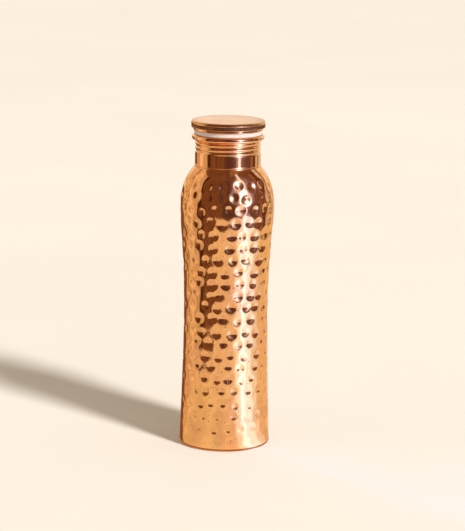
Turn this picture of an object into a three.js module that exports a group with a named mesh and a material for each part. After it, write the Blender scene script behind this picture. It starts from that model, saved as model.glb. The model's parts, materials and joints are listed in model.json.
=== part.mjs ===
import * as THREE from "three";

// A hammered copper water bottle with a screw-in stopper cap, in millimetres with +Z up.
// The origin is the middle of the foot, on the surface that the bottle stands on.
// Every piece is turned about Z from an outline of (radius, height) points.

// Driving dimensions of the body
const HEIGHT = 265;
const WALL = 0.8;
const SEGMENTS = 40;
const FOOT_RADIUS = 36.5;
const FOOT_CORNER = 2.5;
const FLANGE_RADIUS = 30;
const WAIST_RADIUS = 34.15;
const WAIST_HEIGHT = 112;
const SHOULDER_RADIUS = 38;
const SHOULDER_HEIGHT = 198.3;
const SHOULDER_ARC = 44;
const THROAT_FILLET = 1;
const PAN_RADIUS = 33.6;
const PAN_RECESS = 2.5;
const SEAM = 0.1;

// Driving dimensions of the neck. Its heights are measured from the top of the lip.
const LIP_HEIGHT = 253.7;
const NECK_RADIUS = 26.4;
const LIP_RADIUS = 29.1;
const LIP_DEPTH = 4.2;
const THREAD_PITCH = 3.6;
const THREAD_DEPTH = 0.85;
const THREAD_TOP = -4.2;
const THREAD_BOTTOM = -15;
const THREAD_FADE = 1.2;
const THREAD_ROWS = 15;

// Driving dimensions of the stopper cap, in the same heights
const CAP_TOP = HEIGHT - LIP_HEIGHT;
const CAP_RADIUS = 29.67;
const CAP_EDGE = 1.7;
const CAP_WALL = 1.3;
const CAP_RIM_BOTTOM = 5.6;
const PLATE_RADIUS = 28;
const PLATE_BOTTOM = 3.6;
const SEAL_RADIUS = 27.25;
const SEAL_INNER = 24.95;
const PLUG_BOTTOM = -13.7;
const PLUG_CLEARANCE = 0.4;
const PLUG_COLLAR = 24.5;
const SLEEVE_BORE = 23.4;

const COPPER = { color: 0xc8693a, roughness: 0.22, metalness: 1 };
const SATIN_COPPER = { color: 0xd9895c, roughness: 0.38, metalness: 1 };
const SILICONE = { color: 0xece2dc, roughness: 0.55, metalness: 0 };

function point(radius, height) {
  return new THREE.Vector2(radius, height);
}

// Points on a round stretch of an outline, between two angles in radians from +radius towards +height.
function arc(radius, height, size, from, to, steps) {
  return new THREE.EllipseCurve(radius, height, size, size, from, to, to < from).getPoints(steps);
}

// The same open outline moved to its left by a distance, which gives the other face of a sheet.
function sheetFace(outline, distance) {
  return outline.map((here, i) => {
    const before = outline[Math.max(i - 1, 0)];
    const after = outline[Math.min(i + 1, outline.length - 1)];
    const along = after.clone().sub(before).normalize();
    return point(here.x - along.y * distance, here.y + along.x * distance);
  });
}

// A solid turned about Z. An outline runs from axis to axis, or it is a ring's and closes on itself.
function turned(outline) {
  const geometry = new THREE.LatheGeometry(outline, SEGMENTS);
  geometry.rotateX(Math.PI / 2);
  return geometry;
}

function ring(outline) {
  return turned([...outline, outline[0].clone()]);
}

// The share of the full groove depth at a height: none outside the threaded band, and a soft run-out at its ends.
function threadShare(height, bottom, top) {
  const inside = Math.min(height - bottom, top - height);
  return THREE.MathUtils.smoothstep(inside, 0, THREAD_FADE);
}

// Presses a right-hand helical groove into the skin that lies outside a radius.
function pressThread(geometry, outside, bottom, top) {
  const place = geometry.getAttribute("position");
  for (let i = 0; i < place.count; i += 1) {
    const x = place.getX(i);
    const y = place.getY(i);
    const radius = Math.hypot(x, y);
    if (radius < outside || radius > NECK_RADIUS + SEAM) continue;
    const height = place.getZ(i);
    const angle = (2 * Math.PI * height) / THREAD_PITCH - Math.atan2(y, x);
    const groove = THREAD_DEPTH * (0.5 + 0.5 * Math.cos(angle)) * threadShare(height, bottom, top);
    place.setXY(i, x * (1 - groove / radius), y * (1 - groove / radius));
  }
  return geometry;
}

// Heights for the rows of points that carry a thread.
function rows(radius, bottom, top) {
  return Array.from({ length: THREAD_ROWS + 1 }, (_, i) =>
    point(radius, THREE.MathUtils.lerp(bottom, top, i / THREAD_ROWS)),
  );
}

// Where the shoulder's big arc meets the small fillet that turns up into the neck.
function throat() {
  const centre = SHOULDER_RADIUS - SHOULDER_ARC;
  const reach = SHOULDER_ARC + THROAT_FILLET;
  const angle = Math.acos((NECK_RADIUS + THROAT_FILLET - centre) / reach);
  return { centre, angle, height: SHOULDER_HEIGHT + reach * Math.sin(angle) };
}

// The outside of the body, from the foot's turned-in flange up to the edge that the neck is brazed to.
function bodyOutline() {
  const { centre, angle, height } = throat();
  const corner = FOOT_RADIUS - FOOT_CORNER;
  const lower = new THREE.CubicBezierCurve(
    point(FOOT_RADIUS, FOOT_CORNER),
    point(FOOT_RADIUS - 0.2, 0.18 * WAIST_HEIGHT),
    point(WAIST_RADIUS, 0.62 * WAIST_HEIGHT),
    point(WAIST_RADIUS, WAIST_HEIGHT),
  );
  const swell = SHOULDER_HEIGHT - WAIST_HEIGHT;
  const upper = new THREE.CubicBezierCurve(
    point(WAIST_RADIUS, WAIST_HEIGHT),
    point(WAIST_RADIUS, WAIST_HEIGHT + 0.52 * swell),
    point(SHOULDER_RADIUS, SHOULDER_HEIGHT - 0.25 * swell),
    point(SHOULDER_RADIUS, SHOULDER_HEIGHT),
  );
  return [
    point(FLANGE_RADIUS, 0),
    ...arc(corner, FOOT_CORNER, FOOT_CORNER, -Math.PI / 2, 0, 3),
    ...lower.getPoints(4).slice(1),
    ...upper.getPoints(5).slice(1),
    ...arc(centre, SHOULDER_HEIGHT, SHOULDER_ARC, 0, angle, 5).slice(1),
    ...arc(NECK_RADIUS + THROAT_FILLET, height, THROAT_FILLET, Math.PI + angle, Math.PI, 3).slice(1),
  ];
}

function bodyShell() {
  const outside = bodyOutline();
  return ring([...outside, ...sheetFace(outside, WALL).reverse()]);
}

// A pressed disc inside the foot. It is brazed down on the flange and its middle stands clear of the floor.
function basePan() {
  const low = WALL + SEAM;
  const middle = PAN_RADIUS - 9;
  const step = middle + 3;
  const underside = [
    point(0, low + PAN_RECESS),
    point(middle, low + PAN_RECESS),
    point(step, low),
    point(PAN_RADIUS, low),
  ];
  const topside = underside.map((p) => point(p.x, p.y + WALL)).reverse();
  return turned([...underside, ...topside]);
}

// The neck: a plain tube whose upper half carries the pressed thread, with its lip rolled outwards into a bead.
function neckCollar() {
  const bore = NECK_RADIUS - WALL;
  const roll = (LIP_RADIUS - bore) / 2;
  const middle = bore + roll;
  const curlEnd = (-110 * Math.PI) / 180;
  const foot = throat().height + SEAM - LIP_HEIGHT;
  const curl = (size, steps) => [
    ...arc(middle, -roll, size, Math.PI, 0, 2 * steps),
    ...arc(middle, roll - LIP_DEPTH, size, 0, curlEnd, steps),
  ];
  return pressThread(
    ring([
      point(NECK_RADIUS, foot),
      ...rows(NECK_RADIUS, THREAD_BOTTOM, THREAD_TOP),
      ...curl(roll - WALL, 2),
      ...curl(roll, 3).reverse(),
      ...rows(bore, THREAD_BOTTOM, THREAD_TOP).reverse(),
      point(bore, foot),
    ]),
    0,
    THREAD_BOTTOM,
    THREAD_TOP,
  );
}

// A soft washer that the cap squeezes on the lip.
function sealRing() {
  const bottom = SEAM / 2;
  const top = PLATE_BOTTOM - SEAM;
  const soft = 0.4;
  return ring([
    point(SEAL_INNER, bottom),
    point(SEAL_RADIUS - soft, bottom),
    point(SEAL_RADIUS, bottom + soft),
    point(SEAL_RADIUS, top - soft),
    point(SEAL_RADIUS - soft, top),
    point(SEAL_INNER, top),
  ]);
}

// The spun top of the cap, whose rim is the knurled grip.
function capShell() {
  const inside = CAP_RADIUS - CAP_WALL;
  const bevel = 0.4;
  return turned([
    point(0, CAP_TOP - WALL),
    point(inside - 2 * bevel, CAP_TOP - WALL),
    point(inside, CAP_TOP - WALL - 2 * bevel),
    point(inside, CAP_RIM_BOTTOM),
    point(CAP_RADIUS - bevel, CAP_RIM_BOTTOM),
    point(CAP_RADIUS, CAP_RIM_BOTTOM + bevel),
    ...arc(CAP_RADIUS - CAP_EDGE, CAP_TOP - CAP_EDGE, CAP_EDGE, 0, Math.PI / 2, 3),
    point(0, CAP_TOP),
  ]);
}

// The dish that closes the cap from below. Its side shows as the smooth band over the seal.
function capBasePlate() {
  const hole = PLUG_COLLAR + 2 * SEAM;
  const bevel = 0.4;
  const rimTop = CAP_TOP - 2.7;
  return ring([
    point(hole, PLATE_BOTTOM),
    point(PLATE_RADIUS - bevel, PLATE_BOTTOM),
    point(PLATE_RADIUS, PLATE_BOTTOM + bevel),
    point(PLATE_RADIUS, rimTop),
    point(PLATE_RADIUS - WALL, rimTop),
    point(PLATE_RADIUS - WALL, PLATE_BOTTOM + WALL),
    point(hole, PLATE_BOTTOM + WALL),
  ]);
}

// The threaded sleeve under the cap. Its groove follows the neck's, and its top is swaged over the plate.
function plugSleeve() {
  const crest = NECK_RADIUS - WALL - PLUG_CLEARANCE;
  const root = crest - THREAD_DEPTH;
  const threadBottom = PLUG_BOTTOM + 1.6;
  const threadTop = -2.1;
  const swage = PLATE_BOTTOM + WALL + SEAM;
  return pressThread(
    ring([
      point(SLEEVE_BORE, PLUG_BOTTOM),
      point(root - 0.3, PLUG_BOTTOM),
      point(root, PLUG_BOTTOM + 0.5),
      ...rows(crest, threadBottom, threadTop),
      point(PLUG_COLLAR, threadTop + 1),
      point(PLUG_COLLAR, swage),
      point(PLUG_COLLAR + 2, swage),
      point(PLUG_COLLAR + 2, swage + WALL),
      point(SLEEVE_BORE, swage + WALL),
    ]),
    crest - SEAM,
    threadBottom - THREAD_FADE,
    threadTop + THREAD_FADE,
  );
}

// The pressed disc that closes the plug's lower end, so that the cap holds no water.
function plugEndDisc() {
  const radius = SLEEVE_BORE - SEAM;
  const bottom = PLUG_BOTTOM + 0.6;
  const bend = 0.4;
  const rim = 3;
  return turned([
    point(0, bottom),
    point(radius - bend, bottom),
    point(radius, bottom + bend),
    point(radius, bottom + rim),
    point(radius - WALL, bottom + rim),
    point(radius - WALL, bottom + WALL),
    point(0, bottom + WALL),
  ]);
}

function piece(name, geometry, look) {
  const mesh = new THREE.Mesh(geometry, new THREE.MeshStandardMaterial(look));
  mesh.name = name;
  return mesh;
}

const bottle = new THREE.Group();
const mouth = new THREE.Group();
const cap = new THREE.Group();
mouth.position.z = LIP_HEIGHT;
bottle.add(piece("body_shell", bodyShell(), COPPER), piece("base_pan", basePan(), COPPER), mouth);
mouth.add(piece("neck_collar", neckCollar(), COPPER), piece("seal_ring", sealRing(), SILICONE), cap);
cap.add(
  piece("cap_shell", capShell(), SATIN_COPPER),
  piece("cap_base_plate", capBasePlate(), COPPER),
  piece("plug_sleeve", plugSleeve(), COPPER),
  piece("plug_end_disc", plugEndDisc(), COPPER),
);

export default bottle;
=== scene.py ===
import json
import math
import random

import bpy
import numpy as np
from mathutils import Matrix, Vector


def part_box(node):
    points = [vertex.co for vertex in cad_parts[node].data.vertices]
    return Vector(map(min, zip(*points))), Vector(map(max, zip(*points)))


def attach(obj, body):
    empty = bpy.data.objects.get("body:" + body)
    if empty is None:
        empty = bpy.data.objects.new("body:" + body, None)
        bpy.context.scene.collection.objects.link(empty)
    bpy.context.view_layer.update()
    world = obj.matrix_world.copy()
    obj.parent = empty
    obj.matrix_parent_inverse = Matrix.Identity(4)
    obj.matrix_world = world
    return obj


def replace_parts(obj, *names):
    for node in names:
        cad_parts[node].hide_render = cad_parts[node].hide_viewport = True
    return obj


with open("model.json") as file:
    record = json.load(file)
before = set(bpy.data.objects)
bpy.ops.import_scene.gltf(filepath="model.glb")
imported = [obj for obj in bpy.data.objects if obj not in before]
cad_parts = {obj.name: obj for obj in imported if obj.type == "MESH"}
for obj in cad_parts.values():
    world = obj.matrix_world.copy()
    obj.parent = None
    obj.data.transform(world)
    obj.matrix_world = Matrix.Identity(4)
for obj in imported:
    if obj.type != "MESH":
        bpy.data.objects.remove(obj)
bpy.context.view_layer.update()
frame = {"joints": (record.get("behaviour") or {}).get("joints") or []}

MM = 0.001

# A hammered copper water bottle in the studio of its photograph. +Z is up, and the camera looks towards
# +Y. Lengths are in metres. The named angles here are in degrees, unless the name says radians.

# Camera, with its focal length in millimetres
CAMERA_BACK = 1.827
CAMERA_HEIGHT = 0.517
CAMERA_RIGHT = 0.0049
CAMERA_PITCH = -11.47
CAMERA_ROLL = 0.82
CAMERA_LENS = 156.3

# Body outline that the frame's boxes don't give
WALL = 0.8 * MM
FOOT_RADIUS = 36.5 * MM
FOOT_CORNER = 2.5 * MM
FLANGE_RADIUS = 30 * MM
WAIST_RADIUS = 34.15 * MM
WAIST_HEIGHT = 112 * MM
SHOULDER_HEIGHT = 198.3 * MM
SHOULDER_ARC = 44 * MM
THROAT_FILLET = 1 * MM
NECK_RADIUS = 26.4 * MM

# Recessed base: from its edge in to its raised middle, and how much of that is the slope
PAN_RIM = 9 * MM
PAN_SLOPE = 3 * MM

# Hammer dents, in rows whose dents grow from the foot to the shoulder
DENT_SEED = 11
DENT_FIRST_HEIGHT = 8 * MM
DENT_LAST_HEIGHT = 219 * MM
DENT_SPACING = 11.2 * MM
DENT_ROW = 9.9 * MM
DENT_STRAY = 1.6 * MM
DENT_RADIUS_FOOT = 2.9 * MM
DENT_RADIUS_SHOULDER = 3.8 * MM
DENT_SLOPE_FOOT = 0.16
DENT_SLOPE_SHOULDER = 0.36
DENT_DEEPEST = 0.75 * MM
DENT_SOFTNESS = 0.02
PILLOW_DEPTH = 0.32 * MM
PILLOW_RADIUS = 6.2 * MM
BODY_COLUMNS = 256
BODY_ROWS = 264
BODY_INSIDE_ROWS = 90

# Slow sway of the wall. Each one is (waves round the wall, their phase, length of its climbing waves over
# two pi, their phase), with the phases in radians.
SWAYS = ((3, 1.0, 17 * MM, 0), (5, 2.0, 9 * MM, 1.3), (8, 0.4, 6 * MM, 0.5))
SWAY_DEPTH = 0.04 * MM
SWAY_LOWEST = 3 * MM
SWAY_HIGHEST = 222 * MM
SWAY_FADE_LOW = 14 * MM
SWAY_FADE_HIGH = 12 * MM

# Neck and thread, whose heights are counted from the top of the lip
THREAD_DEPTH = 0.85 * MM
THREAD_RUN = (-15 * MM, -4.2 * MM)
THREAD_FADE = 1.2 * MM
LIP_DEPTH = 4.2 * MM
LIP_CURL_END = -110
SOLDER_RADIUS = 0.5 * MM
NECK_COLUMNS = 192

# Seal and plug. The plug's thread starts at its lead above the plug's lower end, and the height at which
# it stops is counted from the top of the lip.
SEAL_WIDTH = 2.3 * MM
SEAL_ROUNDING = 0.55 * MM
PLUG_CLEARANCE = 0.4 * MM
PLUG_FLANGE = 2 * MM
PLUG_LEAD = 1.6 * MM
PLUG_THREAD_TOP = -2.1 * MM
PLATE_GAP = 0.2 * MM
FINE_EDGE = 0.1 * MM

# Cap and its knurled grip, whose heights are counted from the cap's lower edge
KNURL_COUNT = 80
KNURL_COLUMNS = 8 * KNURL_COUNT
KNURL_LENGTH = 3.2 * MM
KNURL_DEPTH = 0.45 * MM
KNURL_BOTTOM = 0.45 * MM
KNURL_TOP = 3.5 * MM
KNURL_FADE = 0.25 * MM
CAP_WALL = 1.3 * MM
CAP_CORNER = 0.8 * MM
CAP_EDGE = 1.7 * MM

# Colours of the finishes. A sheen is the tint of a metal where it is seen at a low angle.
BRIGHT = (0.95, 0.45, 0.14)
ROSY = (0.92, 0.40, 0.15)
BROWN = (0.60, 0.22, 0.06)
STAIN = (0.90, 0.34, 0.07)
TARNISH = (0.055, 0.016, 0.008)
# Near-black brown that darkens the cap: tarnish in the knurl's grooves, and painted shade over its grip and
# the outer ring of its top
GRIP_DIRT_AND_SHADE = (0.10, 0.026, 0.012)
PALE_SHEEN = (1.0, 0.88, 0.72)
ORANGE_SHEEN = (1.0, 0.78, 0.55)
SILICONE_CLEAN = (0.71, 0.61, 0.59)
SILICONE_DUSTY = (0.58, 0.45, 0.40)
FLOOR_DARKER = (0.86, 0.82, 0.76)
FLOOR_LIGHTER = (0.88, 0.84, 0.78)
BACKDROP_DARKER = (0.93, 0.85, 0.74)
BACKDROP_LIGHTER = (0.97, 0.90, 0.80)

# Sun, key lamp and sky. The sun's place is its azimuth and elevation. Azimuth 0 is towards the camera,
# and 90 is to the camera's right.
SUN = (42, 24)
SUN_CORE = 14.0
SUN_CORE_FALL = 150.0
SUN_HAZE = 1.9
SUN_HAZE_FALL = 22.0
SUN_COLOUR = (0.72, 0.92, 1.80)
KEY_ELEVATION = 36
KEY_STRENGTH = 3.7
KEY_SPREAD_RADIANS = 0.16
KEY_COLOUR = (1.0, 0.97, 0.94)
SKY_STRENGTH = 0.46
SKY_COLOUR = (1.0, 0.85, 0.67)

# Sizes of the studio, and the elevations between which its low room, high room and ceiling lie
FLOOR_RADIUS = 12
BACKDROP_RADIUS = 0.99 * FLOOR_RADIUS
ROOM_RADIUS = 2.4
ROOM_BOTTOM = -35
ROOM_MIDDLE = 3
ROOM_TOP = 50
DOME_STEP = 5
DISC_SIDES = 96
SHADOW_LENGTH = 0.8
SHADOW_LIFT = 0.2 * MM
FOOT_SHADE_WIDTH = 3 * MM
FOOT_SHADE_LIFT = 0.3 * MM
CARD_AWAY = 45 * MM
CARD_TURN = 3
CARD_HALF_WIDTH = 34 * MM
CARD_BOTTOM = 1 * MM
CARD_TOP = 28 * MM

# What the copper reflects: bands of the room as (last azimuth, colour), the first from azimuth -180
BRIGHTEST = 5.0
WALL_LEFT = (0.85, 0.82, 0.75)
WALL_RIGHT = (0.76, 0.82, 0.98)
WALL_BACK = (0.98, 1.10, 1.22)
CAST_SHADOW = (0.24, 0.13, 0.09)
FOOT_SHADE = (0.42, 0.28, 0.20)
CARD = (0.34, 0.22, 0.17)
GLINT = (1.50, 2.00, 4.40)
ROOM = (
    (-124, WALL_LEFT), (-117, (0.50, 0.37, 0.28)), (-94, (0.95, 0.92, 0.86)),
    (-76, (0.72, 0.65, 0.57)), (-64, (0.075, 0.03, 0.015)), (-10, (0.20, 0.105, 0.07)),
    (29, (0.115, 0.06, 0.075)), (37, (0.40, 0.38, 0.58)), (45, GLINT), (88, (0.175, 0.105, 0.13)),
    (97, (0.36, 0.20, 0.16)), (112, (0.14, 0.07, 0.05)), (124, WALL_RIGHT), (130, (0.20, 0.11, 0.08)),
)
LOW_ROOM = ((-134, CAST_SHADOW), *ROOM, (180, WALL_RIGHT))
HIGH_ROOM = ((-148, WALL_BACK), *ROOM, (180, WALL_BACK))
CEILING = (
    (-10, (0.20, 0.11, 0.08)), (37, (0.15, 0.085, 0.085)), (45, GLINT), (180, (0.19, 0.11, 0.10)),
)
FLOOR = (
    (-138, CAST_SHADOW), (-100, (0.74, 0.66, 0.58)), (-42, (0.86, 0.82, 0.77)), (2, (0.92, 0.90, 0.90)),
    (26, (0.95, 0.96, 1.08)), (40, (1.10, 1.42, 2.40)), (51, (1.35, 2.35, 5.50)), (72, (1.20, 1.85, 3.70)),
    (90, (1.00, 1.25, 1.90)), (180, (0.92, 0.92, 0.94)),
)

# Corners (x, y) of the stretch of floor that the sun lights
LIT_FLOOR = (
    (-0.40, 0.75), (-0.40, -0.04), (-0.33, -0.26), (-0.24, -0.37), (-0.40, -0.65), (0.66, -0.65),
    (0.66, 0.75),
)


def radius_of(node):
    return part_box(node)[1].x


def bottom_of(node):
    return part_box(node)[0].z


def top_of(node):
    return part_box(node)[1].z


SHOULDER_RADIUS = radius_of("body_shell")
LIP_TOP = top_of("neck_collar")
LIP_RADIUS = radius_of("neck_collar")
CAP_RADIUS = radius_of("cap_shell")
LIFT, TURN = frame["joints"]
THREAD_PITCH = LIFT["range_m"][1] / (TURN["range_deg"][1] / 360)


# ---------------------------------------------------------------- outlines of (radius, height)

def bezier(a, b, c, d, steps):
    t = np.linspace(0, 1, steps + 1)[:, None]
    a, b, c, d = (np.array(p) for p in (a, b, c, d))
    return a * (1 - t) ** 3 + 3 * b * t * (1 - t) ** 2 + 3 * c * t * t * (1 - t) + d * t ** 3


def arc(radius, height, size, start, end, steps):
    t = np.linspace(start, end, steps + 1)
    return np.stack([radius + size * np.cos(t), height + size * np.sin(t)], 1)


def upright(radius, heights):
    """A straight stretch parallel to the axis, with a point at each height."""
    return np.stack([np.full(len(heights), radius), heights], 1)


def joined(*stretches):
    """The stretches end to end, without the points that repeat."""
    line = np.concatenate([np.atleast_2d(np.array(s, float)) for s in stretches])
    keep = np.r_[True, np.linalg.norm(np.diff(line, axis=0), axis=1) > 1e-7]
    return line[keep]


def lengths_along(line):
    """How far along the line each of its points lies."""
    return np.r_[0, np.cumsum(np.linalg.norm(np.diff(line, axis=0), axis=1))]


def resampled(line, count):
    """The line again, as points at equal steps along it."""
    along = lengths_along(line)
    at = np.linspace(0, along[-1], count)
    return np.stack([np.interp(at, along, line[:, k]) for k in (0, 1)], 1)


def rounded(corners, steps=5):
    """A polygon of (radius, height, rounding) corners with each corner rounded and its flats held flat."""
    line = []
    count = len(corners)
    for i, (r, z, size) in enumerate(corners):
        here = np.array([r, z])
        if size == 0:
            line.append(here)
            continue
        before = np.array(corners[i - 1][:2]) - here
        after = np.array(corners[(i + 1) % count][:2]) - here
        before /= np.linalg.norm(before)
        after /= np.linalg.norm(after)
        half = math.acos(np.clip(before @ after, -1, 1)) / 2
        reach = size / math.tan(half)
        centre = here + (before + after) / np.linalg.norm(before + after) * size / math.sin(half)
        first = here + before * reach - centre
        last = here + after * reach - centre
        start = math.atan2(first[1], first[0])
        sweep = math.atan2(first[0] * last[1] - first[1] * last[0], first @ last)
        flat = min(0.1 * MM, reach)
        line.append(here + before * (reach + flat))
        line.extend(centre + size * np.array([math.cos(a), math.sin(a)])
                    for a in np.linspace(start, start + sweep, steps + 1))
        line.append(here + after * (reach + flat))
    return np.array(line)


def normals_of(line):
    """The direction to the right of the line at each point, which is outwards on an outline that climbs."""
    along = np.gradient(line, axis=0)
    along /= np.linalg.norm(along, axis=1)[:, None]
    return np.stack([along[:, 1], -along[:, 0]], 1)


# ---------------------------------------------------------------- meshes

def mesh_piece(name, points, faces, recess_and_shade):
    """A smooth mesh with a darkening share for each point from 0 to 1: how far it lies recessed, and on
    the cap also painted shade.
    """
    mesh = bpy.data.meshes.new(name)
    mesh.from_pydata(points.tolist(), [], faces)
    mesh.polygons.foreach_set("use_smooth", [True] * len(mesh.polygons))
    mesh.attributes.new("recess_and_shade", "FLOAT", "POINT").data.foreach_set("value", recess_and_shade.astype(np.float32))
    mesh.validate()
    mesh.update()
    obj = bpy.data.objects.new(name, mesh)
    bpy.context.scene.collection.objects.link(obj)
    return obj


def ring_faces(rows, columns, closed):
    """Quads between the rows of a grid that goes round the axis. The last row of a closed grid meets
    its first."""
    i = np.arange(rows if closed else rows - 1)[:, None]
    j = np.arange(columns)[None, :]
    up = (i + 1) % rows
    on = (j + 1) % columns
    quads = np.stack([i * columns + j, i * columns + on, up * columns + on, up * columns + j], -1)
    return quads.reshape(-1, 4).tolist()


def turned(name, outline, columns, carve=None):
    """A solid turned about Z. An outline that starts and ends on the axis gets one point at each end.
    carve(radius, height, angle) gives the depth to take off, and each point's darkening share from 0 to 1:
    how recessed it is, and on the cap also painted shade."""
    on_axis = outline[0][0] < 1e-9
    body = outline[1:-1] if on_axis else outline
    angle = np.arange(columns) / columns * 2 * math.pi
    radius = np.repeat(body[:, :1], columns, 1)
    height = np.repeat(body[:, 1:], columns, 1)
    depth, recess_and_shade = carve(radius, height, angle[None, :]) if carve else (0 * radius, 0 * radius)
    radius = radius - depth
    points = np.stack([radius * np.cos(angle), radius * np.sin(angle), height], -1).reshape(-1, 3)
    faces = ring_faces(len(body), columns, not on_axis)
    values = recess_and_shade.reshape(-1)
    if on_axis:
        first, last = len(points), len(points) + 1
        ends = [[0, 0, outline[0][1]], [0, 0, outline[-1][1]]]
        points = np.concatenate([points, ends])
        values = np.concatenate([values, [0, 0]])
        top = (len(body) - 1) * columns
        faces += [[first, (j + 1) % columns, j] for j in range(columns)]
        faces += [[last, top + j, top + (j + 1) % columns] for j in range(columns)]
    return mesh_piece(name, points, faces, values)


# ---------------------------------------------------------------- body

def body_outline():
    """The outside of the body in the CAD's own curves: the wall from the foot's flange to the throat,
    and the small fillet of the throat."""
    centre = SHOULDER_RADIUS - SHOULDER_ARC
    reach = SHOULDER_ARC + THROAT_FILLET
    angle = math.acos((NECK_RADIUS + THROAT_FILLET - centre) / reach)
    throat = SHOULDER_HEIGHT + reach * math.sin(angle)
    swell = SHOULDER_HEIGHT - WAIST_HEIGHT
    waist = (WAIST_RADIUS, WAIST_HEIGHT)
    shoulder = (SHOULDER_RADIUS, SHOULDER_HEIGHT)
    wall = joined(
        (FLANGE_RADIUS, 0),
        arc(FOOT_RADIUS - FOOT_CORNER, FOOT_CORNER, FOOT_CORNER, -math.pi / 2, 0, 12),
        bezier((FOOT_RADIUS, FOOT_CORNER), (FOOT_RADIUS - 0.2 * MM, 0.18 * WAIST_HEIGHT),
               (WAIST_RADIUS, 0.62 * WAIST_HEIGHT), waist, 80),
        bezier(waist, (WAIST_RADIUS, WAIST_HEIGHT + 0.52 * swell),
               (SHOULDER_RADIUS, SHOULDER_HEIGHT - 0.25 * swell), shoulder, 80),
        arc(centre, SHOULDER_HEIGHT, SHOULDER_ARC, 0, angle, 50),
    )
    return wall, arc(NECK_RADIUS + THROAT_FILLET, throat, THROAT_FILLET, math.pi + angle, math.pi, 10)


def hammer_dents(line, along):
    """(place along the outline, angle, radius, depth, width for its height) of every hammer blow."""
    chance = random.Random(DENT_SEED)
    blows = []
    height = DENT_FIRST_HEIGHT
    turn = 0.0
    while height < DENT_LAST_HEIGHT:
        share = (height - DENT_FIRST_HEIGHT) / (DENT_LAST_HEIGHT - DENT_FIRST_HEIGHT)
        place = np.interp(height, line[:, 1], along)
        radius = np.interp(height, line[:, 1], line[:, 0])
        count = round(2 * math.pi * radius / DENT_SPACING)
        grow = min(1.0, 1.7 * share)
        size = DENT_RADIUS_FOOT + (DENT_RADIUS_SHOULDER - DENT_RADIUS_FOOT) * grow
        slope = DENT_SLOPE_FOOT + (DENT_SLOPE_SHOULDER - DENT_SLOPE_FOOT) * grow
        turn += (0.5 + chance.uniform(-0.2, 0.2)) / count
        for k in range(count):
            here = size * chance.uniform(0.86, 1.12)
            depth = here * slope / 2 * chance.uniform(0.72, 1.15)
            around = 2 * math.pi * (turn + (k + chance.uniform(-0.2, 0.2)) / count)
            wider = chance.uniform(0.9, 1.15)
            stray = chance.uniform(-DENT_STRAY, DENT_STRAY)
            blows.append((place + stray, around, here, depth, wider))
        height += DENT_ROW * chance.uniform(0.93, 1.07)
    return blows


def wall_sway(line, along, angle):
    """How far the wall sways in from its outline, which is nothing at the foot and at the throat."""
    sway = sum(np.sin(waves * angle + phase)[None, :] * np.sin(along / length + climb_phase)[:, None]
               for waves, phase, length, climb_phase in SWAYS)
    height = line[:, 1]
    above_foot = np.clip((height - SWAY_LOWEST) / SWAY_FADE_LOW, 0, 1)
    below_throat = np.clip((SWAY_HIGHEST - height) / SWAY_FADE_HIGH, 0, 1)
    return SWAY_DEPTH * (sway + len(SWAYS)) * (above_foot * below_throat)[:, None]


def dent_field(line, along, columns):
    """How deep the wall is pressed in at each point of the outline and each angle. Each blow leaves
    a round dent, and draws in the wall about it, so that the wall swells between the blows."""
    angle = np.arange(columns) / columns * 2 * math.pi
    dents = np.zeros((len(line), columns))
    pillow = np.zeros((len(line), columns))
    for place, around, size, deep, wider in hammer_dents(line, along):
        rows = np.where(np.abs(along - place) < 2.5 * PILLOW_RADIUS)[0]
        away = (angle - around + math.pi) % (2 * math.pi) - math.pi
        square = (along[rows, None] - place) ** 2 + (line[rows, :1] * away[None, :] / wider) ** 2
        inside = 1 - square / size ** 2
        soft = 0.5 * (inside + np.sqrt(inside ** 2 + DENT_SOFTNESS))
        fade = np.clip((3.2 * size ** 2 - square) / (1.6 * size ** 2), 0, 1)
        dents[rows] = np.maximum(dents[rows], deep * soft * fade)
        pillow[rows] += deep / DENT_DEEPEST * np.exp(-2 * square / PILLOW_RADIUS ** 2)
    return dents + PILLOW_DEPTH * pillow + wall_sway(line, along, angle)


def body_shell():
    wall, throat = body_outline()
    line = joined(resampled(wall, BODY_ROWS - len(throat) + 1), throat)
    along = lengths_along(line)
    depth = dent_field(line, along, BODY_COLUMNS)
    inner_rows = np.linspace(len(line) - 1, 0, BODY_INSIDE_ROWS).round().astype(int)
    outward = normals_of(line)
    angle = np.arange(BODY_COLUMNS) / BODY_COLUMNS * 2 * math.pi

    def skin(rows, sink):
        r = line[rows, :1] - outward[rows, :1] * sink
        z = line[rows, 1:] - outward[rows, 1:] * sink
        return np.stack([r * np.cos(angle), r * np.sin(angle), z + 0 * angle], -1).reshape(-1, 3)

    everywhere = np.arange(len(line))
    points = np.concatenate([skin(everywhere, depth), skin(inner_rows, depth[inner_rows] + WALL)])
    faces = ring_faces(len(line) + len(inner_rows), BODY_COLUMNS, True)
    recess_and_shade = np.concatenate([depth.reshape(-1), depth[inner_rows].reshape(-1)]) / DENT_DEEPEST
    obj = mesh_piece("hammered_body", points, faces, recess_and_shade)
    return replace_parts(obj, "body_shell")


def base_pan():
    low = bottom_of("base_pan")
    top = top_of("base_pan")
    rim = radius_of("base_pan")
    middle = rim - PAN_RIM
    step = middle + PAN_SLOPE
    lift = top - low - WALL
    outline = rounded([
        (0, low + lift, 0), (middle, low + lift, 2 * MM), (step, low, 1.2 * MM), (rim, low, 0.2 * MM),
        (rim, low + WALL, 0.2 * MM), (step, low + WALL, 1.2 * MM), (middle, top, 2 * MM), (0, top, 0),
    ])
    obj = turned("recessed_base", outline, 128)
    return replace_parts(obj, "base_pan")


# ---------------------------------------------------------------- neck, seal and cap

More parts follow.
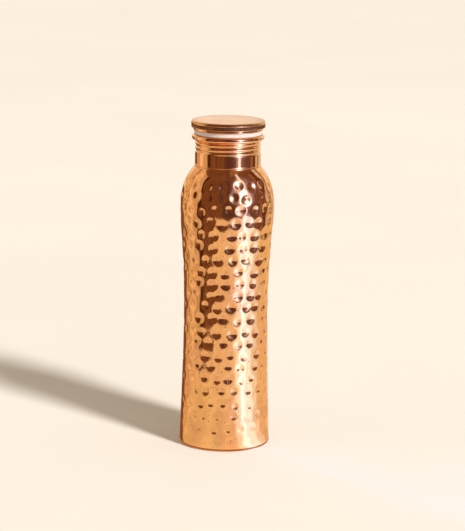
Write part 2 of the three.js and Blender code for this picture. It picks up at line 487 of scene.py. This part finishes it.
def thread_groove(bottom, top, outside):
    """A carve() for turned(): a right-hand helical groove in the skin that lies outside a radius."""
    def carve(radius, height, angle):
        z = height - LIP_TOP
        inside = np.clip(np.minimum(z - bottom, top - z) / THREAD_FADE, 0, 1)
        share = inside * inside * (3 - 2 * inside)
        wave = 0.5 + 0.5 * np.cos(2 * math.pi * z / THREAD_PITCH - angle)
        here = (radius > outside) & (radius < NECK_RADIUS + 0.1 * MM)
        recess_and_shade = wave * share * here
        return THREAD_DEPTH * recess_and_shade, recess_and_shade
    return carve


def neck_collar():
    bore = NECK_RADIUS - WALL
    roll = (LIP_RADIUS - bore) / 2
    middle = bore + roll
    foot = bottom_of("neck_collar")
    low, high = (LIP_TOP + z for z in THREAD_RUN)
    plain = np.linspace(foot + 2 * SOLDER_RADIUS, low, 12)[:-1]
    run = np.linspace(low, high, 54)

    def curl(size, steps):
        return joined(
            arc(middle, LIP_TOP - roll, size, math.pi, 0, 2 * steps),
            arc(middle, LIP_TOP + roll - LIP_DEPTH, size, 0, math.radians(LIP_CURL_END), steps),
        )

    outline = joined(
        (bore, foot),
        (NECK_RADIUS - 0.2 * MM, foot),
        arc(NECK_RADIUS - 0.15 * MM, foot + SOLDER_RADIUS, SOLDER_RADIUS, -math.pi / 2, 1.2, 8),
        upright(NECK_RADIUS, plain),
        upright(NECK_RADIUS, run),
        curl(roll - WALL, 8),
        curl(roll, 12)[::-1],
        upright(bore, run[::-1]),
        upright(bore, plain[::-1]),
    )
    obj = turned("threaded_neck", outline, NECK_COLUMNS, thread_groove(*THREAD_RUN, 0))
    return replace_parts(obj, "neck_collar")


def seal_ring():
    low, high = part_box("seal_ring")
    inner = radius_of("seal_ring") - SEAL_WIDTH
    soft = SEAL_ROUNDING
    outline = rounded([
        (inner, low.z, soft), (high.x, low.z, soft), (high.x, high.z, soft), (inner, high.z, soft),
    ], 8)
    obj = turned("silicone_seal", outline, 160)
    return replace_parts(obj, "seal_ring")


def knurl(radius, height, angle):
    """A carve() for turned(): a diamond knurl, as two crossing sets of slanted grooves. Its darkening
    share is tarnish in the grooves, with painted shade over the whole grip and the outer ring of the top.
    """
    low = bottom_of("cap_shell") + KNURL_BOTTOM
    high = bottom_of("cap_shell") + KNURL_TOP
    on_grip = np.clip(np.minimum(height - low, high - height) / KNURL_FADE, 0, 1)
    on_grip = on_grip * (radius > CAP_RADIUS - 0.05 * MM)
    climb = (height - low) / KNURL_LENGTH * 2 * math.pi
    one = np.abs(np.sin((KNURL_COUNT * angle + climb) / 2))
    two = np.abs(np.sin((KNURL_COUNT * angle - climb) / 2))
    groove = 1 - np.minimum(one, two)
    # Painted shade: the outer ring of the cap's top and its rounded edge get a darkening share, though they
    # are not recessed
    rim = np.clip(radius / CAP_RADIUS - 0.7, 0, 1) * (height > top_of("cap_shell") - CAP_EDGE)
    # The grip's darkening share is painted shade over all of it, ridges too, with tarnish added in the
    # grooves
    return KNURL_DEPTH * on_grip * groove, np.maximum(on_grip * (0.45 + 0.55 * groove), 0.8 * rim)


def cap_shell():
    low = bottom_of("cap_shell")
    top = top_of("cap_shell")
    inside = CAP_RADIUS - CAP_WALL
    band = np.linspace(low + 0.4 * MM, low + KNURL_TOP + 0.1 * MM, 26)
    outline = joined(
        (0, top - WALL),
        (inside - CAP_CORNER, top - WALL),
        (inside, top - WALL - CAP_CORNER),
        (inside, low + 0.1 * MM),
        (inside + 0.1 * MM, low),
        (CAP_RADIUS - 0.5 * MM, low),
        (CAP_RADIUS - 0.15 * MM, low + 0.12 * MM),
        upright(CAP_RADIUS, band),
        arc(CAP_RADIUS - CAP_EDGE, top - CAP_EDGE, CAP_EDGE, 0, math.pi / 2, 14),
        (CAP_RADIUS - CAP_EDGE - 0.3 * MM, top),
        (0.7 * CAP_RADIUS, top),
        (0.35 * CAP_RADIUS, top),
        (0, top),
    )
    obj = turned("knurled_cap", outline, KNURL_COLUMNS, knurl)
    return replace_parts(obj, "cap_shell")


def cap_base_plate():
    low = bottom_of("cap_base_plate")
    top = top_of("cap_base_plate")
    edge = radius_of("cap_base_plate")
    hole = radius_of("plug_sleeve") - PLUG_FLANGE + PLATE_GAP
    outline = rounded([
        (hole, low, FINE_EDGE), (edge, low, 0.5 * MM), (edge, top, FINE_EDGE), (edge - WALL, top, FINE_EDGE),
        (edge - WALL, low + WALL, 0.2 * MM), (hole, low + WALL, FINE_EDGE),
    ])
    obj = turned("cap_underside_plate", outline, 160)
    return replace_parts(obj, "cap_base_plate")


def plug_sleeve():
    crest = NECK_RADIUS - WALL - PLUG_CLEARANCE
    root = crest - THREAD_DEPTH
    low = bottom_of("plug_sleeve")
    top = top_of("plug_sleeve")
    flange = radius_of("plug_sleeve")
    collar = flange - PLUG_FLANGE
    bore = radius_of("plug_end_disc") + 0.1 * MM
    thread_low = low - LIP_TOP + PLUG_LEAD
    run = LIP_TOP + np.linspace(thread_low, PLUG_THREAD_TOP, 56)
    outline = joined(
        (bore, low + 0.1 * MM), (bore + 0.1 * MM, low), (root - 0.3 * MM, low), (root, low + 0.5 * MM),
        (root, run[0] - 0.05 * MM),
        upright(crest, run),
        (crest - 0.2 * MM, run[-1] + 0.25 * MM), (collar, run[-1] + 1 * MM), (collar, top - WALL),
        (flange, top - WALL), (flange, top), (bore, top),
    )
    carve = thread_groove(thread_low - THREAD_FADE, PLUG_THREAD_TOP + THREAD_FADE, crest - 0.1 * MM)
    obj = turned("threaded_plug", outline, NECK_COLUMNS, carve)
    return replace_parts(obj, "plug_sleeve")


def plug_end_disc():
    low = bottom_of("plug_end_disc")
    top = top_of("plug_end_disc")
    edge = radius_of("plug_end_disc")
    outline = rounded([
        (0, low, 0), (edge, low, 0.5 * MM), (edge, top, FINE_EDGE), (edge - WALL, top, FINE_EDGE),
        (edge - WALL, low + WALL, 0.3 * MM), (0, low + WALL, 0),
    ])
    obj = turned("plug_bottom", outline, 128)
    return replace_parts(obj, "plug_end_disc")


# ---------------------------------------------------------------- materials

class Nodes:
    """A material's node tree, with short calls for the nodes that the finishes share."""

    def __init__(self, name):
        self.material = bpy.data.materials.new(name)
        self.material.use_nodes = True
        self.tree = self.material.node_tree
        self.shader = self.tree.nodes["Principled BSDF"]
        self.place = self.new("ShaderNodeTexCoord").outputs["Object"]

    def new(self, kind, **settings):
        node = self.tree.nodes.new(kind)
        for key, value in settings.items():
            setattr(node, key, value)
        return node

    def link(self, source, target):
        self.tree.links.new(source, target)

    def feed(self, node, index, value):
        """Set one of a node's inputs to a number or a colour, or link another node's output to it."""
        if isinstance(value, bpy.types.NodeSocket):
            self.link(value, node.inputs[index])
        else:
            node.inputs[index].default_value = (*value, 1) if isinstance(value, tuple) else value

    def maths(self, operation, first, second=0.0):
        node = self.new("ShaderNodeMath", operation=operation)
        self.feed(node, 0, first)
        self.feed(node, 1, second)
        return node.outputs[0]

    def noise(self, scale, detail, roughness=0.5, place=None):
        node = self.new("ShaderNodeTexNoise")
        self.feed(node, "Scale", scale)
        self.feed(node, "Detail", detail)
        self.feed(node, "Roughness", roughness)
        self.link(place or self.place, node.inputs["Vector"])
        return node.outputs["Fac"]

    def spots(self, scale):
        """The distance to the nearest of many scattered points, in units of their spacing."""
        node = self.new("ShaderNodeTexVoronoi")
        self.feed(node, "Scale", scale)
        self.link(self.place, node.inputs["Vector"])
        return node.outputs["Distance"]

    def ramp(self, source, low, high, to_low=0.0, to_high=1.0):
        node = self.new("ShaderNodeMapRange")
        for index, value in enumerate((source, low, high, to_low, to_high)):
            self.feed(node, index, value)
        return node.outputs["Result"]

    def blend(self, share, first, second):
        """A mix of two colours."""
        node = self.new("ShaderNodeMix", data_type="RGBA")
        self.link(share, node.inputs[0])
        self.feed(node, 6, first)
        self.feed(node, 7, second)
        return node.outputs[2]

    def attribute(self, name):
        return self.new("ShaderNodeAttribute", attribute_name=name).outputs["Fac"]

    def stretched(self, x, y, z):
        """Noise coordinates scaled differently along each axis."""
        node = self.new("ShaderNodeVectorMath", operation="MULTIPLY")
        self.link(self.place, node.inputs[0])
        node.inputs[1].default_value = (x, y, z)
        return node.outputs[0]

    def lathe_lines(self, along, across):
        """Noise coordinates that change slowly round a turned surface and fast across it."""
        x, y, z = self.split(self.place)
        square = self.maths("ADD", self.maths("MULTIPLY", x, x), self.maths("MULTIPLY", y, y))
        radius = self.maths("SQRT", square)
        node = self.new("ShaderNodeCombineXYZ")
        self.feed(node, 0, self.maths("MULTIPLY", x, along))
        self.feed(node, 1, self.maths("MULTIPLY", y, along))
        self.feed(node, 2, self.maths("MULTIPLY", self.maths("ADD", radius, z), across))
        return node.outputs[0]

    def split(self, vector):
        node = self.new("ShaderNodeSeparateXYZ")
        self.link(vector, node.inputs[0])
        return node.outputs

    def bump(self, height, distance, strength, below=None):
        node = self.new("ShaderNodeBump")
        self.feed(node, "Strength", strength)
        self.feed(node, "Distance", distance)
        self.link(height, node.inputs["Height"])
        if below:
            self.link(below, node.inputs["Normal"])
        return node.outputs["Normal"]


def copper(name, polish, lines, grime_and_shade, dirt_and_shade=BROWN):
    """Copper with cloudy tints, specks, turning lines round it, and a darker colour where it is recessed,
    which on the cap is also painted shade. polish is its roughness, and lines and the darkening are how
    strongly those show. Gives the nodes, colour and surface."""
    n = Nodes(name)
    colour = n.blend(n.ramp(n.noise(26, 4), 0.35, 0.65), BRIGHT, ROSY)
    specks = n.ramp(n.noise(420, 5, 0.7), 0.60, 0.78, 0.0, 0.35)
    colour = n.blend(specks, colour, BROWN)
    # Darker where the mesh's darkening share is high: in dents and grooves, and painted shade on the cap
    darkened = n.ramp(n.attribute("recess_and_shade"), 0.0, 1.0, 0.0, grime_and_shade)
    patchy = n.maths("MULTIPLY", darkened, n.ramp(n.noise(180, 4), 0.25, 0.7, 0.7, 1.0))
    colour = n.blend(patchy, colour, dirt_and_shade)
    scratches = n.noise(1, 4, 0.7, n.lathe_lines(70, 5200))
    rough = n.ramp(n.noise(60, 5, 0.6), 0.3, 0.75, polish * 0.75, polish * 1.4)
    rough = n.maths("ADD", rough, n.maths("MULTIPLY", patchy, 0.2))
    rough = n.maths("ADD", rough, n.ramp(scratches, 0.5, 0.75, 0.0, 0.05))
    surface = n.bump(n.noise(900, 3), 0.00002, 0.35)
    surface = n.bump(scratches, 0.00002, lines, surface)
    n.link(rough, n.shader.inputs["Roughness"])
    n.shader.inputs["Metallic"].default_value = 1.0
    return n, colour, surface


def plain_copper(*finish):
    n, colour, surface = copper(*finish)
    n.link(colour, n.shader.inputs["Base Color"])
    n.link(surface, n.shader.inputs["Normal"])
    n.shader.inputs["Specular Tint"].default_value = (*PALE_SHEEN, 1)
    return n.material


def hammered_copper():
    """Polished copper left uneven by the hammer, with small pits and thin upright creases."""
    n, colour, surface = copper("hammered_copper", 0.085, 0.12, 0.2)
    colour = n.blend(n.ramp(n.noise(15, 3), 0.56, 0.70, 0.0, 0.6), colour, STAIN)
    pit = n.ramp(n.spots(150), 0.04, 0.09, 0.7, 0.0)
    path = n.noise(1, 3, 0.6, n.stretched(150, 150, 38))
    crease = n.ramp(n.maths("ABSOLUTE", n.maths("SUBTRACT", path, 0.5)), 0.0, 0.010, 1.0, 0.0)
    crease = n.maths("MULTIPLY", crease, n.ramp(n.noise(75, 2), 0.56, 0.64, 0.0, 0.6))
    mark = n.maths("MAXIMUM", pit, crease)
    surface = n.bump(n.noise(230, 2), 0.0001, 0.65, surface)
    surface = n.bump(n.maths("SUBTRACT", 0.0, mark), 0.0001, 0.6, surface)
    n.link(n.blend(mark, colour, TARNISH), n.shader.inputs["Base Color"])
    n.link(surface, n.shader.inputs["Normal"])
    n.shader.inputs["Specular Tint"].default_value = (*ORANGE_SHEEN, 1)
    return n.material


def silicone():
    n = Nodes("silicone")
    dust = n.ramp(n.noise(300, 5, 0.65), 0.52, 0.75, 0.0, 0.5)
    n.link(n.blend(dust, SILICONE_CLEAN, SILICONE_DUSTY), n.shader.inputs["Base Color"])
    n.link(n.ramp(n.noise(90, 4), 0.3, 0.7, 0.42, 0.6), n.shader.inputs["Roughness"])
    n.link(n.bump(n.noise(1400, 3), 0.00003, 0.5), n.shader.inputs["Normal"])
    n.shader.inputs["Subsurface Weight"].default_value = 0.2
    n.shader.inputs["Subsurface Radius"].default_value = (0.002, 0.0015, 0.0012)
    n.shader.inputs["Subsurface Scale"].default_value = 1.0
    return n.material


def pale_floor():
    n = Nodes("pale_floor")
    tone = n.ramp(n.noise(3, 4), 0.3, 0.7)
    n.link(n.blend(tone, FLOOR_DARKER, FLOOR_LIGHTER), n.shader.inputs["Base Color"])
    n.link(n.bump(n.noise(300, 4), 0.0002, 0.3), n.shader.inputs["Normal"])
    n.shader.inputs["Roughness"].default_value = 0.85
    n.shader.inputs["Specular IOR Level"].default_value = 0.1
    return n.material


def backdrop_paper():
    """A backdrop that glows evenly, so that it needs no light of its own."""
    n = Nodes("backdrop_paper")
    glow = n.shader.inputs
    glow["Base Color"].default_value = (0, 0, 0, 1)
    glow["Specular IOR Level"].default_value = 0
    glow["Emission Strength"].default_value = 1
    tone = n.ramp(n.noise(0.4, 3), 0.3, 0.7)
    n.link(n.blend(tone, BACKDROP_DARKER, BACKDROP_LIGHTER), glow["Emission Color"])
    return n.material


def direction(azimuth, elevation):
    """The way from the bottle to something in the room."""
    a = math.radians(azimuth)
    e = math.radians(elevation)
    return Vector((math.sin(a) * math.cos(e), -math.cos(a) * math.cos(e), math.sin(e)))


def band_colours(n, bands, blur):
    """The colour of the band that lies in each direction, as a share of the brightest. blur is how far
    the bands run into each other in degrees."""
    x, y, _ = n.split(n.place)
    azimuth = n.maths("ARCTAN2", x, n.maths("MULTIPLY", y, -1.0))
    ramp = n.new("ShaderNodeValToRGB")
    n.link(n.ramp(azimuth, -math.pi, math.pi), ramp.inputs[0])
    stops = ramp.color_ramp.elements
    stops.remove(stops[1])
    starts = [-180] + [end for end, _ in bands]
    for start, (end, colour) in zip(starts, bands):
        for edge in (start + blur, end - blur):
            stop = stops[0] if edge == starts[0] + blur else stops.new((edge + 180) / 360)
            stop.position = (edge + 180) / 360
            stop.color = (*(c / BRIGHTEST for c in colour), 1)
    return ramp.outputs[0]


def sun_glare(n):
    """How strongly the sun's core and the haze about it glow in each direction."""
    facing = n.new("ShaderNodeVectorMath", operation="NORMALIZE")
    n.link(n.place, facing.inputs[0])
    towards = n.new("ShaderNodeVectorMath", operation="DOT_PRODUCT")
    n.link(facing.outputs[0], towards.inputs[0])
    towards.inputs[1].default_value = direction(*SUN)
    near = n.maths("MAXIMUM", towards.outputs["Value"], 0.0)
    core = n.maths("MULTIPLY", n.maths("POWER", near, SUN_CORE_FALL), SUN_CORE)
    haze = n.maths("MULTIPLY", n.maths("POWER", near, SUN_HAZE_FALL), SUN_HAZE)
    return n.maths("ADD", core, haze)


def surroundings(name, bands, clouds=2, blur=0.8, cloudy=0.15):
    """A glow that changes with the direction from the bottle, with the sun's glare in it. clouds and
    cloudy are the scale and the strength of a soft mottling."""
    n = Nodes(name)
    room = n.new("ShaderNodeEmission")
    dim = (1 - cloudy) * BRIGHTEST
    bright = (1 + cloudy) * BRIGHTEST
    n.link(band_colours(n, bands, blur), room.inputs["Color"])
    n.link(n.ramp(n.noise(clouds, 3), 0.3, 0.7, dim, bright), room.inputs["Strength"])
    sunshine = n.new("ShaderNodeEmission")
    sunshine.inputs["Color"].default_value = (*SUN_COLOUR, 1)
    n.link(sun_glare(n), sunshine.inputs["Strength"])
    both = n.new("ShaderNodeAddShader")
    n.link(room.outputs[0], both.inputs[0])
    n.link(sunshine.outputs[0], both.inputs[1])
    n.tree.nodes.remove(n.shader)
    n.link(both.outputs[0], n.tree.nodes["Material Output"].inputs["Surface"])
    return n.material


# ---------------------------------------------------------------- studio

def stage_mesh(name, points, faces, material, seen_by):
    """A floor or a part of the room, seen only by the kinds of ray that are named."""
    mesh = bpy.data.meshes.new(name)
    mesh.from_pydata(points, [], faces)
    obj = bpy.data.objects.new(name, mesh)
    bpy.context.scene.collection.objects.link(obj)
    obj.data.materials.append(material)
    for ray in ("camera", "diffuse", "glossy", "transmission", "shadow"):
        setattr(obj, "visible_" + ray, ray in seen_by)


def disc(name, radius, height, material, seen_by):
    around = np.linspace(0, 2 * math.pi, DISC_SIDES, endpoint=False)
    points = [(radius * math.cos(a), radius * math.sin(a), height) for a in around]
    stage_mesh(name, points, [list(range(DISC_SIDES))], material, seen_by)


def dome(name, radius, low, high, material, seen_by):
    """A band of a dome round the bottle between two elevations."""
    elevations = np.linspace(low, high, round((high - low) / DOME_STEP) + 1)
    azimuths = range(0, 360, DOME_STEP)
    points = [radius * direction(azimuth, elevation) for elevation in elevations for azimuth in azimuths]
    stage_mesh(name, points, ring_faces(len(elevations), len(azimuths), False), material, seen_by)


def lit_floor():
    """The floor as the copper reflects it, which the camera doesn't see."""
    corners = [(x, y, 0) for x, y in LIT_FLOOR]
    lit = surroundings("lit_floor", FLOOR, clouds=14, blur=2.5, cloudy=0.24)
    stage_mesh("lit_floor", corners, [list(range(len(corners)))], lit, ("glossy",))


def bottle_shadow():
    """The strip of shadow that the bottle throws away from the sun, as the copper reflects it."""
    away = SHADOW_LENGTH * direction(SUN[0] + 180, 0)
    side = FOOT_RADIUS * direction(SUN[0] + 90, 0)
    lift = Vector((0, 0, SHADOW_LIFT))
    corners = [corner + lift for corner in (side, away + side, away - side, -side)]
    shadow = surroundings("bottle_shadow", ((180, CAST_SHADOW),))
    stage_mesh("bottle_shadow", corners, [[0, 1, 2, 3]], shadow, ("glossy",))


def foot_shade():
    """The dimmer ring of floor close round the foot, as the copper reflects it."""
    shade = surroundings("foot_shade", ((180, FOOT_SHADE),))
    disc("foot_shade", FOOT_RADIUS + FOOT_SHADE_WIDTH, FOOT_SHADE_LIFT, shade, ("glossy",))


def glare_card():
    """A card beside the cap that keeps the sun's glare off its flat top, open or closed."""
    near = CARD_AWAY * direction(SUN[0] + CARD_TURN, 0)
    side = CARD_HALF_WIDTH * direction(SUN[0] + CARD_TURN + 90, 0)
    low = Vector((0, 0, top_of("cap_shell") + CARD_BOTTOM))
    high = Vector((0, 0, top_of("cap_shell") + LIFT["range_m"][1] + CARD_TOP))
    corners = [near - side + low, near + side + low, near + side + high, near - side + high]
    card = surroundings("glare_card", ((180, CARD),))
    stage_mesh("glare_card", corners, [[0, 1, 2, 3]], card, ("glossy",))


def walls_and_ceiling():
    """The room round the bottle, which shows only in reflections."""
    low = surroundings("low_room", LOW_ROOM, clouds=3, cloudy=0.28)
    high = surroundings("high_room", HIGH_ROOM, clouds=3, cloudy=0.28)
    ceiling = surroundings("ceiling", CEILING, blur=3)
    dome("low_room", ROOM_RADIUS, ROOM_BOTTOM, ROOM_MIDDLE, low, ("glossy",))
    dome("high_room", ROOM_RADIUS, ROOM_MIDDLE, ROOM_TOP, high, ("glossy",))
    dome("ceiling", ROOM_RADIUS, ROOM_TOP, 90, ceiling, ("glossy",))


def studio():
    disc("floor", FLOOR_RADIUS, 0, pale_floor(), ("camera", "diffuse", "shadow"))
    lit_floor()
    bottle_shadow()
    foot_shade()
    glare_card()
    walls_and_ceiling()
    dome("backdrop", BACKDROP_RADIUS, -1, 89, backdrop_paper(), ("camera",))


def lamp(name, azimuth, elevation, strength, spread, colour):
    """A distant light whose shadows are as soft as its spread."""
    light = bpy.data.lights.new(name, "SUN")
    light.energy = strength
    light.angle = spread
    light.color = colour
    obj = bpy.data.objects.new(name, light)
    obj.rotation_euler = direction(azimuth, elevation).to_track_quat("Z", "Y").to_euler()
    obj.visible_glossy = False
    bpy.context.scene.collection.objects.link(obj)


def lights():
    world = bpy.data.worlds.new("soft_sky")
    world.use_nodes = True
    sky = world.node_tree.nodes["Background"]
    sky.inputs["Color"].default_value = (*SKY_COLOUR, 1)
    sky.inputs["Strength"].default_value = SKY_STRENGTH
    bpy.context.scene.world = world
    lamp("key", SUN[0], KEY_ELEVATION, KEY_STRENGTH, KEY_SPREAD_RADIANS, KEY_COLOUR)


def camera():
    data = bpy.data.cameras.new("camera")
    data.lens = CAMERA_LENS
    data.clip_start = 0.05
    data.clip_end = 40
    obj = bpy.data.objects.new("camera", data)
    tilt = Matrix.Rotation(math.radians(90 + CAMERA_PITCH), 4, "X")
    roll = Matrix.Rotation(math.radians(CAMERA_ROLL), 4, "Z")
    obj.matrix_world = Matrix.Translation((CAMERA_RIGHT, -CAMERA_BACK, CAMERA_HEIGHT)) @ tilt @ roll
    bpy.context.scene.collection.objects.link(obj)
    bpy.context.scene.camera = obj


def finished(piece, body, material):
    """Give a piece its finish and the body that it moves with."""
    piece.data.materials.append(material)
    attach(piece, body)


camera()
studio()
lights()
bpy.context.scene.view_settings.view_transform = "Standard"

polished = plain_copper("polished_copper", 0.09, 0.3, 0.25)
# The cap's darkening is strong: tarnish in the knurl's grooves, and painted shade over its grip and the
# top's outer ring
satin = plain_copper("satin_copper", 0.2, 0.3, 1.3, GRIP_DIRT_AND_SHADE)
dull = plain_copper("dull_copper", 0.24, 0.3, 0.3)

finished(body_shell(), "bottle", hammered_copper())
finished(base_pan(), "bottle", dull)
finished(neck_collar(), "bottle", polished)
finished(seal_ring(), "seal", silicone())
finished(cap_shell(), "cap", satin)
finished(cap_base_plate(), "cap", polished)
finished(plug_sleeve(), "cap", polished)
finished(plug_end_disc(), "cap", dull)
